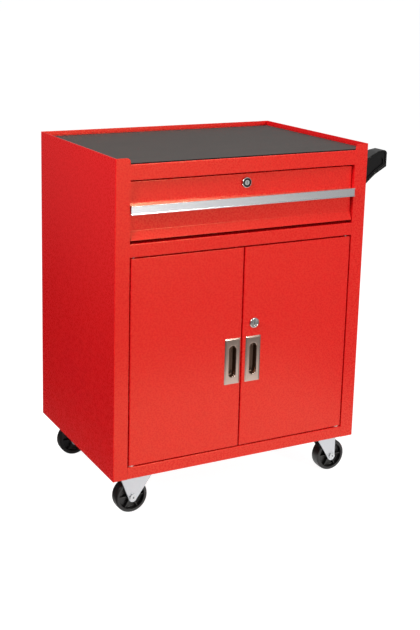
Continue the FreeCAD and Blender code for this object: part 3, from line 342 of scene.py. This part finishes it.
# Bare or plated metal: a drawn-out grain in gloss and height, and clouds in the gloss
def makeMetal(name, colour, roughness, spread, grainPitch, depth, stretch=(1, 1, 1), cloudPitch=25.0, cloud=0.06):
    material, tree, shader = startMaterial(name, colour, {"Metallic": 1.0, "Roughness": roughness})
    grain = noiseAt(tree, grainPitch, stretch, detail=4.0)
    clouds = noiseAt(tree, cloudPitch)
    gloss = addNode(tree, "MapRange", {"Value": grain.outputs[0]},
                    {"To Min": roughness - spread, "To Max": roughness + spread})
    haze = addNode(tree, "MapRange", {"Value": clouds.outputs[0]}, {"To Min": -cloud, "To Max": cloud})
    both = addNode(tree, "Math", {0: gloss.outputs[0], 1: haze.outputs[0]}, operation="ADD")
    tree.links.new(both.outputs[0], shader.inputs["Roughness"])
    bump = addNode(tree, "Bump", {"Height": grain.outputs[0]}, {"Strength": metalBump, "Distance": depth / 1000})
    tree.links.new(bump.outputs[0], shader.inputs["Normal"])
    return material


mouldedGrain = {"glossier": 0.07, "duller": 0.09, "strength": 0.3}


# Injection-moulded plastic: the spark-eroded grain of its tool
def makeMoulded(name, colour, roughness, grainPitch, grainHeight, values=None):
    material, tree, shader = startMaterial(name, colour, {"Roughness": roughness, **(values or {})})
    grain = noiseAt(tree, grainPitch, detail=3.0)
    gloss = addNode(tree, "MapRange", {"Value": grain.outputs[0]},
                    {"To Min": roughness - mouldedGrain["glossier"], "To Max": roughness + mouldedGrain["duller"]})
    tree.links.new(gloss.outputs[0], shader.inputs["Roughness"])
    bump = addNode(tree, "Bump", {"Height": grain.outputs[0]},
                   {"Strength": mouldedGrain["strength"], "Distance": grainHeight / 1000})
    tree.links.new(bump.outputs[0], shader.inputs["Normal"])
    return material


# Stamped steel, nickel plated and brushed upright: warm grey, streaked gloss, painted shade that darkens the colour
# down in the cup, and duller gloss there where no brush reaches. starts and ends are millimetres along Y
pullNickel = {"colour": "#b4a095", "cupShadeColour": "#6b574b", "cupRoughness": 0.30, "starts": -206.5, "ends": -199.0}


def makePullNickel():
    material = makeMetal("brushedNickel", pullNickel["colour"], roughness=0.17, spread=0.05, grainPitch=0.5,
                         depth=0.02, stretch=(1, 1, 0.03), cloud=0.02)
    tree = material.node_tree
    shader = tree.nodes["Principled BSDF"]
    place = addNode(tree, "SeparateXYZ", {0: addNode(tree, "TexCoord").outputs["Object"]})
    # painted shade: the colour goes dark with depth into the cup
    deep = addNode(tree, "MapRange", {"Value": place.outputs["Y"]},
                   {"From Min": pullNickel["starts"] / 1000, "From Max": pullNickel["ends"] / 1000})
    tone = addNode(tree, "Mix", {0: deep.outputs[0]}, {6: toLinear(pullNickel["colour"]),
                                                       7: toLinear(pullNickel["cupShadeColour"])}, data_type="RGBA")
    tree.links.new(tone.outputs[2], shader.inputs["Base Color"])
    dull = addNode(tree, "Mix", {0: deep.outputs[0], 2: shader.inputs["Roughness"].links[0].from_socket},
                   {3: pullNickel["cupRoughness"]}, data_type="FLOAT")
    tree.links.new(dull.outputs[0], shader.inputs["Roughness"])
    return material


materials = {
    "paint_red": makePowderCoat(),
    "mat_rubber": makeRubberMat(),
    # Extruded aluminium, satin anodised: fine die lines along its length, soft bright sheen
    "bar_aluminium": makeMetal("anodisedAluminium", "#dcdde0", roughness=0.16, spread=0.04, grainPitch=0.9, depth=0.05,
                               stretch=(0.008, 1, 1), cloud=0.02),
    "pull_nickel": makePullNickel(),
    # Die-cast zinc, polished and chromed: hard bright reflections
    "lock_chrome": makeMetal("polishedChrome", "#d0d0cf", roughness=0.10, spread=0.03, grainPitch=3.0, depth=0.002),
    # Zinc die casting, barrel plated: dull silver
    "lock_zinc": makeMetal("barrelPlatedZinc", "#b4b5b6", roughness=0.42, spread=0.08, grainPitch=1.2, depth=0.03),
    # Roll-formed strip, bright zinc: faint lines along the run
    "slide_zinc": makeMetal("rollFormedZinc", "#bfc3c8", roughness=0.36, spread=0.07, grainPitch=0.9, depth=0.02,
                            stretch=(1, 0.03, 1)),
    # Pressed steel, bright zinc: pale and cloudy, soft sheen
    "caster_zinc": makeMetal("pressedBrightZinc", "#c4c7cb", roughness=0.46, spread=0.06, grainPitch=1.6, depth=0.03,
                             cloudPitch=9.0),
    # Cold-headed steel, zinc plated: small bright fastener metal
    "fastener_zinc": makeMetal("headedZincSteel", "#c4c6c8", roughness=0.33, spread=0.06, grainPitch=1.0, depth=0.02),
    # Moulded polypropylene for the handle brackets: black, fine tool grain, soft gloss
    "handle_plastic": makeMoulded("mouldedPolypropylene", "#09090a", roughness=0.29, grainPitch=1.1, grainHeight=0.06,
                                  values={"Specular IOR Level": 0.28}),
    # Foam-filled vinyl sleeve: dull black, pebbled
    "grip_foam": makeMoulded("vinylFoamSleeve", "#141414", roughness=0.72, grainPitch=1.6, grainHeight=0.25),
    # Moulded polyolefin wheel: black, a little shine where it rolls
    "wheel_plastic": makeMoulded("mouldedWheelPolyolefin", "#161515", roughness=0.34, grainPitch=1.3, grainHeight=0.05),
    # Natural nylon washers: milky white
    "washer_nylon": makeMoulded("naturalNylon", "#e6e2d8", roughness=0.38, grainPitch=1.0, grainHeight=0.03,
                                values={"Subsurface Weight": 0.1, "Subsurface Scale": 0.002}),
    # Moulded ABS shell of the magnetic catches: dark grey, matt
    "catch_plastic": makeMoulded("mouldedAbs", "#2b2b2c", roughness=0.5, grainPitch=1.0, grainHeight=0.05),
}
rowOf = {row["node"]: row for row in frame["record"]["subparts"]}
bodyOf = {nodeName: body_of(node)[0] for nodeName, node in cadNodes.items()}
for nodeName, node in cadNodes.items():
    node.material_slots[0].material = materials[rowOf[nodeName]["material_slot"]]
print("materials made:", len(materials))


# Modelling by hand in edit mode: everything is deselected first, then edges are picked by their place
def deselectAll():
    if bpy.context.mode != "OBJECT":
        bpy.ops.object.mode_set(mode="OBJECT")
    bpy.ops.object.select_all(action="DESELECT")


def editPiece(piece):
    deselectAll()
    piece.select_set(True)
    bpy.context.view_layer.objects.active = piece
    bpy.ops.object.mode_set(mode="EDIT")


def newPiece(name):
    deselectAll()
    bpy.ops.mesh.primitive_plane_add(size=0.01, location=(0, 0, 0))
    piece = bpy.context.object
    piece.name = piece.data.name = name
    bpy.ops.object.mode_set(mode="EDIT")
    bpy.ops.mesh.delete(type="VERT")
    return piece


def pickEdges(piece, test):
    bpy.ops.mesh.select_mode(type="EDGE")
    bpy.ops.mesh.select_all(action="DESELECT")
    picked = [edge for edge in bmesh.from_edit_mesh(piece.data).edges if test(edge)]
    for edge in picked:
        edge.select_set(True)
    bmesh.update_edit_mesh(piece.data)
    return len(picked)


# A closed chain of edges through the points, in millimetres, each extruded from the one before
def drawLoop(points):
    places = [Vector(point) / 1000 for point in points]
    bpy.ops.mesh.select_mode(type="VERT")
    bpy.ops.mesh.select_all(action="DESELECT")
    bpy.ops.mesh.primitive_plane_add(size=0.01, location=places[0])
    bpy.ops.mesh.merge(type="CENTER")
    for start, end in zip(places, places[1:] + places[:1]):
        bpy.ops.mesh.extrude_region_move(TRANSFORM_OT_translate={"value": end - start})


# Corners as (across, up, radius), each rounded off in a few steps
def roundCorners(corners, steps):
    points = []
    for place, (across, up, radius) in enumerate(corners):
        here = Vector((across, up))
        if not radius:
            points.append(here)
            continue
        before = (Vector(corners[place - 1][:2]) - here).normalized()
        after = (Vector(corners[(place + 1) % len(corners)][:2]) - here).normalized()
        half = before.angle(after) / 2
        centre = here + (before + after).normalized() * radius / math.sin(half)
        start = here + before * radius / math.tan(half) - centre
        end = here + after * radius / math.tan(half) - centre
        turn = math.atan2(start.x * end.y - start.y * end.x, start.dot(end))
        for step in range(steps + 1):
            angle = turn * step / steps
            points.append(centre + Vector((start.x * math.cos(angle) - start.y * math.sin(angle),
                                           start.x * math.sin(angle) + start.y * math.cos(angle))))
    return points


def smoothPiece(piece, degrees=50):
    deselectAll()
    piece.select_set(True)
    bpy.context.view_layer.objects.active = piece
    bpy.ops.object.shade_smooth_by_angle(angle=math.radians(degrees), keep_sharp_edges=False)
    bpy.ops.object.modifier_add(type="WEIGHTED_NORMAL")
    piece.modifiers[-1].keep_sharp = True
    bpy.ops.object.modifier_apply(modifier=piece.modifiers[-1].name)


def finishPiece(piece, body, slot, *nodes):
    deselectAll()
    piece.data.materials.clear()
    piece.data.materials.append(materials[slot])
    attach(piece, body)
    if nodes:
        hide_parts(*nodes)


mergeWithin = {"copied": 2e-6, "modelled": 1e-6}  # metres
flatWithin = 1  # degrees
closeTo = 0.01  # millimetres, within which a corner counts as lying on a plane


def mergeAll(within=mergeWithin["modelled"]):
    bpy.ops.mesh.select_all(action="SELECT")
    bpy.ops.mesh.remove_doubles(threshold=within)


# A copy of a CAD node's mesh, its corners merged and, if whole, its triangles joined into flat faces
def copyNode(nodeName, pieceName, whole=True):
    piece = bpy.data.objects.new(pieceName, cadNodes[nodeName].data.copy())
    bpy.context.scene.collection.objects.link(piece)
    editPiece(piece)
    bpy.ops.mesh.customdata_custom_splitnormals_clear()
    mergeAll(mergeWithin["copied"])
    if whole:
        bpy.ops.mesh.dissolve_limited(angle_limit=math.radians(flatWithin))
    bpy.ops.mesh.select_all(action="DESELECT")
    return piece


def isSharp(edge, degrees=30):
    return len(edge.link_faces) == 2 and edge.calc_face_angle() > math.radians(degrees)


def bevelPicked(millimetres, segments):
    bpy.ops.mesh.bevel(offset=millimetres / 1000, segments=segments, affect="EDGES", clamp_overlap=False)


# Folded and sheared sheet: folds that come sharp are rounded as the press leaves them, and every other long edge
# gets the small round that shearing, deburring and paint leave. Millimetres, but sharp is in degrees
sheetEdge = {"round": 0.35, "panRound": 0.2, "sharp": 50, "shortest": 30.0, "segments": 2}
sheetFold = {"round": 0.8, "sharp": 12, "shortest": 3.0, "segments": 3, "reach": 0.15}
front, doorFoot, doorTop = -206.5, 125.7, 574.9  # the doors' face, and their lower and upper edges
foldPlaces = {  # axis that the fold runs along, then its place on the two others in alphabetical order
    "left_side_panel": [("z", -309.4, front)],
    "right_side_panel": [("z", 234.6, front)],
    "drawer_front": [("x", -205.9, 612.6)],
    "left_door_shell": [("x", front, doorFoot), ("x", front, doorTop)],
    "right_door_shell": [("x", front, doorFoot), ("x", front, doorTop)],
}


def liesOnFold(edge, places):
    for axis, first, second in places:
        along = "xyz".index(axis)
        others = [number for number in range(3) if number != along]
        if all(abs(corner.co[others[0]] * 1000 - first) < sheetFold["reach"]
               and abs(corner.co[others[1]] * 1000 - second) < sheetFold["reach"] for corner in edge.verts):
            return True
    return False


sheetNodes = ("left_side_panel", "right_side_panel", "back_panel", "top_tray", "middle_rail", "bottom_pan", "shelf",
              "left_runner_channel", "right_runner_channel", "drawer_box", "drawer_front", "left_door_shell",
              "right_door_shell")
keptTriangles = ("bottom_pan", "left_door_shell", "right_door_shell")  # whole, some of their faces tear
for nodeName in sheetNodes:
    sheet = copyNode(nodeName, nodeName + "_skin", whole=nodeName not in keptTriangles)
    places = foldPlaces.get(nodeName, [])
    folds = pickEdges(sheet, lambda edge: isSharp(edge, sheetFold["sharp"])
                      and edge.calc_length() * 1000 > sheetFold["shortest"] and liesOnFold(edge, places))
    if folds:
        bevelPicked(sheetFold["round"], sheetFold["segments"])
    print(nodeName, "folds rounded:", folds)
    pickEdges(sheet, lambda edge: isSharp(edge, sheetEdge["sharp"])
              and edge.calc_length() * 1000 > sheetEdge["shortest"])
    bevelPicked(sheetEdge["panRound" if nodeName == "bottom_pan" else "round"], sheetEdge["segments"])
    smoothPiece(sheet)
    finishPiece(sheet, bodyOf[nodeName], "paint_red", nodeName)
print("sheet pieces softened:", len(sheetNodes))

# Extruded bar pull: the die's corners are never quite square
barEdge = {"round": 0.3, "shortest": 5.0, "segments": 2}
bar = copyNode("drawer_bar", "drawer_bar_extrusion")
pickEdges(bar, lambda edge: isSharp(edge) and edge.calc_length() * 1000 > barEdge["shortest"])
bevelPicked(barEdge["round"], barEdge["segments"])
smoothPiece(bar)
finishPiece(bar, bodyOf["drawer_bar"], "bar_aluminium", "drawer_bar")

# Mat: cut from the roll, its upper edges worn round
matEdge = {"round": 0.8, "reach": 0.1, "segments": 3}
mat = copyNode("top_mat", "top_mat_sheet")
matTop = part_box("top_mat")[1][2]
pickEdges(mat, lambda edge: isSharp(edge)
          and all(abs(corner.co.z - matTop) * 1000 < matEdge["reach"] for corner in edge.verts))
bevelPicked(matEdge["round"], matEdge["segments"])
smoothPiece(mat)
finishPiece(mat, "cabinet", "mat_rubber", "top_mat")

# Handle brackets: moulded, so the edges of both sides are rounded for the tool to let go. Their triangles stay,
# as the long hollow faces tear when they are bevelled whole
bracketShape = {"round": 1.0, "segments": 3, "sharp": 50, "shortest": 1.5, "reach": 0.05}
for nodeName in ("handle_bracket_front", "handle_bracket_rear"):
    low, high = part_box(nodeName)
    bracket = copyNode(nodeName, nodeName + "_moulding", whole=False)
    pickEdges(bracket, lambda edge: isSharp(edge, bracketShape["sharp"])
              and edge.calc_length() * 1000 > bracketShape["shortest"]
              and any(all(abs(corner.co.y - side) * 1000 < bracketShape["reach"] for corner in edge.verts)
                      for side in (low[1], high[1])))
    bevelPicked(bracketShape["round"], bracketShape["segments"])
    smoothPiece(bracket)
    finishPiece(bracket, bodyOf[nodeName], "handle_plastic", nodeName)
print("bar, mat and handle brackets made")


# A closed outline given as (radius, along) is spun round the Y axis into one closed skin
def spinOutline(piece, outline, steps):
    drawLoop([(radius, along, 0) for radius, along in outline])
    mergeAll()
    bpy.ops.mesh.spin(steps=steps, angle=math.tau, center=(0, 0, 0), axis=(0, 1, 0))
    mergeAll()
    bpy.ops.mesh.normals_make_consistent(inside=False)


def placePiece(piece, place):
    deselectAll()
    piece.select_set(True)
    bpy.context.view_layer.objects.active = piece
    piece.location = Vector(place) / 1000
    bpy.ops.object.transform_apply(location=True, rotation=True, scale=True)


def copyPiece(source, name, place=(0, 0, 0)):
    piece = source.copy()
    piece.data = source.data.copy()
    piece.name = piece.data.name = name
    bpy.context.scene.collection.objects.link(piece)
    placePiece(piece, place)
    return piece


# Wheels: one-piece moulding with a crowned tread, a dished web and six ribs on each side. Radii and distances from
# the wheel's middle, in millimetres
wheelShape = {
    "radius": 37.5, "half": 13.0, "crown": 0.7, "shoulder": 4.2,
    "rimInner": 29.4, "rimRound": 0.8, "rimFoot": 28.0, "rimFootRound": 1.4, "web": 3.0,
    "hub": 10.0, "hubRound": 0.7, "hubDraft": 0.8, "hubFootRound": 1.2, "bore": 4.1, "boreBevel": 0.5,
    "ribs": 6, "ribThick": 2.6, "ribOut": 10.0, "ribDraft": 0.8, "ribRound": 0.5, "ribSegments": 2,
    "ribSunk": {"hub": 0.6, "rim": 0.7, "web": 0.4},  # how far each rib runs into what it joins
    "steps": 72, "roundSteps": 5, "smooth": 40,
    "places": {"left_wheel_front": (-282.8, -160.5), "left_wheel_rear": (-282.8, 167.5),
               "right_wheel_front": (234.0, -160.5), "right_wheel_rear": (234.0, 167.5)},
}


def makeRib(shape):
    rib = newPiece("wheelRib")
    sunk, thick = shape["ribSunk"], shape["ribThick"] / 2
    inner, outer, foot = shape["hub"] - sunk["hub"], shape["rimFoot"] + sunk["rim"], shape["web"] - sunk["web"]
    drawLoop([(inner, foot, -thick), (outer, foot, -thick), (outer, foot, thick), (inner, foot, thick)])
    mergeAll()
    bpy.ops.mesh.edge_face_add()
    bpy.ops.mesh.extrude_region_move(TRANSFORM_OT_translate={"value": (0, (shape["ribOut"] - foot) / 1000, 0)})
    bpy.ops.transform.resize(value=(1, 1, shape["ribDraft"]), center_override=(0, 0, 0))
    pickEdges(rib, lambda edge: all(corner.co.y * 1000 > shape["ribOut"] - closeTo for corner in edge.verts)
              and edge.calc_length() * 1000 > shape["ribThick"] * 1.5)  # the two long edges only
    bevelPicked(shape["ribRound"], shape["ribSegments"])
    deselectAll()
    return rib


def makeWheel(shape):
    wheel = newPiece("wheelMoulding")
    half, tread = shape["half"], shape["radius"] - shape["crown"]
    outside = [(shape["bore"], half - shape["boreBevel"], 0), (shape["bore"] + shape["boreBevel"], half, 0),
               (shape["hub"], half, shape["hubRound"]),
               (shape["hub"] + shape["hubDraft"], shape["web"], shape["hubFootRound"]),
               (shape["rimFoot"], shape["web"], shape["rimFootRound"]), (shape["rimInner"], half, shape["rimRound"]),
               (tread, half, shape["shoulder"])]
    inside = [(radius, -along, bend) for radius, along, bend in reversed(outside)]
    spinOutline(wheel, roundCorners(outside + [(shape["radius"], 0, 0)] + inside, shape["roundSteps"]), shape["steps"])
    rib = makeRib(shape)
    ribs = []
    for side in (1, -1):
        for turn in range(shape["ribs"]):
            ribs.append(copyPiece(rib, "wheelRib" + str(len(ribs))))
            ribs[-1].rotation_euler = (0, math.tau * turn / shape["ribs"], 0)
            ribs[-1].scale = (1, side, 1)
    bpy.data.objects.remove(rib)
    deselectAll()
    for piece in [wheel] + ribs:
        piece.select_set(True)
    bpy.context.view_layer.objects.active = wheel
    bpy.ops.object.join()
    editPiece(wheel)
    bpy.ops.mesh.select_all(action="SELECT")
    bpy.ops.mesh.normals_make_consistent(inside=False)
    smoothPiece(wheel, shape["smooth"])
    return wheel


wheel = makeWheel(wheelShape)
for nodeName, (across, along) in wheelShape["places"].items():
    piece = copyPiece(wheel, nodeName + "_moulding", (across, along, wheelShape["radius"]))
    finishPiece(piece, bodyOf[nodeName], "wheel_plastic", nodeName)
bpy.data.objects.remove(wheel)
print("wheels made")

# Fork legs: the pressed edge is rounded all the way down and round the end of each leg. legOuter is from the wheel's
# middle to the leg's outer face
forkShape = {"legOuter": 17.1, "round": 0.9, "segments": 3, "sharp": 60, "reach": 0.05, "holeClear": 8.0,
             "axles": {"fixed_fork_front": (-282.8, -160.5), "fixed_fork_rear": (-282.8, 167.5),
                       "swivel_fork_front": (234.0, -160.5), "swivel_fork_rear": (234.0, 167.5)}, "axleHeight": 37.5}
for nodeName, (across, along) in forkShape["axles"].items():
    fork = copyNode(nodeName, nodeName + "_pressing")
    axle = Vector((across, along, forkShape["axleHeight"])) / 1000

    def onLegEdge(edge):
        middle = (edge.verts[0].co + edge.verts[1].co) / 2 - axle
        return (isSharp(edge, forkShape["sharp"])
                and Vector((middle.x, middle.z)).length * 1000 > forkShape["holeClear"]
                and all(abs(abs(corner.co.y - axle.y) * 1000 - forkShape["legOuter"]) < forkShape["reach"]
                        for corner in edge.verts))

    pickEdges(fork, onLegEdge)
    bevelPicked(forkShape["round"], forkShape["segments"])
    smoothPiece(fork)
    finishPiece(fork, bodyOf[nodeName], "caster_zinc", nodeName)
print("forks made")

# Flush pulls: a stamped plate with sloping edges, a long slot with a rolled lip, and a deep cup behind it
pullShape = {
    "width": 37.5, "height": 103.4, "corner": 1.2, "cornerSteps": 1, "edge": 0.3, "slope": 3.3, "rise": 1.6,
    "faceRound": 0.5, "faceDrop": 0.14, "lip": 0.9,
    "slotWidth": 17.3, "slotHeight": 71.7, "slotFlat": 0.3, "slotSteps": 10,
    "lipRoll": [(0, 0), (0.5, 0.12), (0.85, 0.45), (1.0, 0.9)],  # in from the slot's outline, back from the face
    "depth": 12.5, "draft": 1.0, "foot": 3.2, "footSteps": 5, "wall": 1.0, "smooth": 40,
    "face": -208.1, "middle": 323.5, "places": {"left_pull": -63.0, "right_pull": -11.8},
}


# Pushes the picked ring of edges back and draws it in: rings are (in from the first outline, back from the face)
def extrudeRings(halves, rings):
    last = rings[0]
    for ring in rings[1:]:
        bpy.ops.mesh.extrude_region_move(TRANSFORM_OT_translate={"value": (0, (ring[1] - last[1]) / 1000, 0)})
        across, up = ((half - ring[0]) / (half - last[0]) for half in halves)
        bpy.ops.transform.resize(value=(across, 1, up), center_override=(0, 0, 0))
        last = ring


def pickRing(piece, halves):
    pickEdges(piece, lambda edge: all(
        abs(corner.co.y) * 1000 < closeTo and abs(corner.co.x) * 1000 < halves[0] + closeTo
        and abs(corner.co.z) * 1000 < halves[1] + closeTo for corner in edge.verts))


pullCorners = ((1, -1), (1, 1), (-1, 1), (-1, -1))


def makePull(shape):
    pull = newPiece("pullStamping")
    plate = (shape["width"] / 2, shape["height"] / 2)
    lip = (shape["slotWidth"] / 2 + shape["lip"], shape["slotHeight"] / 2 + shape["lip"])
    corners = [(plate[0] * x, plate[1] * z, shape["corner"]) for x, z in pullCorners]
    drawLoop([(across, shape["rise"], up) for across, up in roundCorners(corners, shape["cornerSteps"])])
    mergeAll()
    extrudeRings(plate, [(0, shape["rise"]), (0, shape["rise"] - shape["edge"]),
                         (shape["slope"] - shape["faceRound"], shape["faceDrop"]), (shape["slope"], 0)])
    corners = [(lip[0] * x, lip[1] * z, lip[0] - shape["slotFlat"]) for x, z in pullCorners]
    drawLoop([(across, 0, up) for across, up in roundCorners(corners, shape["slotSteps"])])
    mergeAll()
    pickRing(pull, plate)
    bpy.ops.mesh.fill(use_beauty=True)
    pickRing(pull, lip)
    wall, footStart = shape["lipRoll"][-1][0] + shape["draft"], shape["depth"] - shape["foot"]
    cup = shape["lipRoll"] + [(wall, footStart)]
    for step in range(1, shape["footSteps"] + 1):
        angle = math.pi / 2 * step / shape["footSteps"]
        cup.append((wall + shape["foot"] * (1 - math.cos(angle)), footStart + shape["foot"] * math.sin(angle)))
    extrudeRings(lip, cup)
    bpy.ops.mesh.edge_face_add()
    mergeAll()
    bpy.ops.mesh.normals_make_consistent(inside=False)
    shell = bmesh.from_edit_mesh(pull.data)
    if sum(face.normal.y * face.calc_area() for face in shell.faces) > 0:
        bpy.ops.mesh.flip_normals()
    deselectAll()
    bpy.context.view_layer.objects.active = pull
    pull.select_set(True)
    bpy.ops.object.modifier_add(type="SOLIDIFY")
    pull.modifiers[-1].thickness = shape["wall"] / 1000
    pull.modifiers[-1].offset = -1
    bpy.ops.object.modifier_apply(modifier=pull.modifiers[-1].name)
    smoothPiece(pull, shape["smooth"])
    return pull


pull = makePull(pullShape)
for nodeName, across in pullShape["places"].items():
    piece = copyPiece(pull, nodeName + "_stamping", (across, pullShape["face"], pullShape["middle"]))
    finishPiece(piece, bodyOf[nodeName], "pull_nickel", nodeName)
bpy.data.objects.remove(pull)
print("pulls made")

# Cam locks: a die-cast body with a rounded bezel, a sunk face and a groove round the plug, and its barrel behind
lockShape = {
    "radius": 11.4, "proud": 4.6, "edge": 1.7, "bezel": 1.5, "bezelRound": 0.35, "draft": 0.3, "sunk": 0.7,
    "bore": 5.75, "barrel": 9.2, "barrelRound": 0.4, "groove": 7.3, "grooveDepth": 2.4, "grooveDraft": 0.2,
    "grooveRound": 0.2, "footRound": 0.1, "steps": 48, "roundSteps": 5, "ringSteps": 3, "smooth": 35,
    "places": {"drawer_lock_body": (-37.4, -198.0, 713.8), "door_lock_body": (-11.8, -206.5, 405.3)},
    "ringInner": 5.95, "ringProud": 0.35, "ringGap": 0.35, "ringRound": 0.12,
}
for nodeName, place in lockShape["places"].items():
    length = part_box(nodeName)[1][1] * 1000 - place[1]
    lock = newPiece(nodeName + "_casting")
    radius, proud, bezel = lockShape["radius"], lockShape["proud"], lockShape["radius"] - lockShape["bezel"]
    faceAt, grooveAt = lockShape["sunk"] - proud, lockShape["grooveDepth"] - proud
    outline = [(lockShape["barrel"], length, lockShape["barrelRound"]), (lockShape["barrel"], 0, 0), (radius, 0, 0),
               (radius, -proud, lockShape["edge"]), (bezel, -proud, lockShape["bezelRound"]),
               (bezel - lockShape["draft"], faceAt, lockShape["footRound"]),
               (lockShape["groove"], faceAt, lockShape["grooveRound"]),
               (lockShape["groove"] - lockShape["grooveDraft"], grooveAt, lockShape["footRound"]),
               (lockShape["bore"], grooveAt, 0), (lockShape["bore"], length, 0)]
    spinOutline(lock, roundCorners(outline, lockShape["roundSteps"]), lockShape["steps"])
    smoothPiece(lock, lockShape["smooth"])
    placePiece(lock, place)
    finishPiece(lock, bodyOf[nodeName], "lock_chrome", nodeName)

# The drawer's lock also has a black ring over the groove and sunk face round its plug, a dark piece put there as
# painted shade
ring = newPiece("drawer_lock_shade_ring")
ringBack = lockShape["sunk"] - lockShape["proud"]
ringFront = ringBack - lockShape["ringProud"]
ringOuter = lockShape["radius"] - lockShape["bezel"] - lockShape["ringGap"]
spinOutline(ring, roundCorners([(lockShape["ringInner"], ringBack, 0),
                                (lockShape["ringInner"], ringFront, lockShape["ringRound"]),
                                (ringOuter, ringFront, lockShape["ringRound"]), (ringOuter, ringBack, 0)],
                               lockShape["ringSteps"]), lockShape["steps"])
smoothPiece(ring, lockShape["smooth"])
placePiece(ring, lockShape["places"]["drawer_lock_body"])
finishPiece(ring, "drawer", "handle_plastic")
print("locks made")
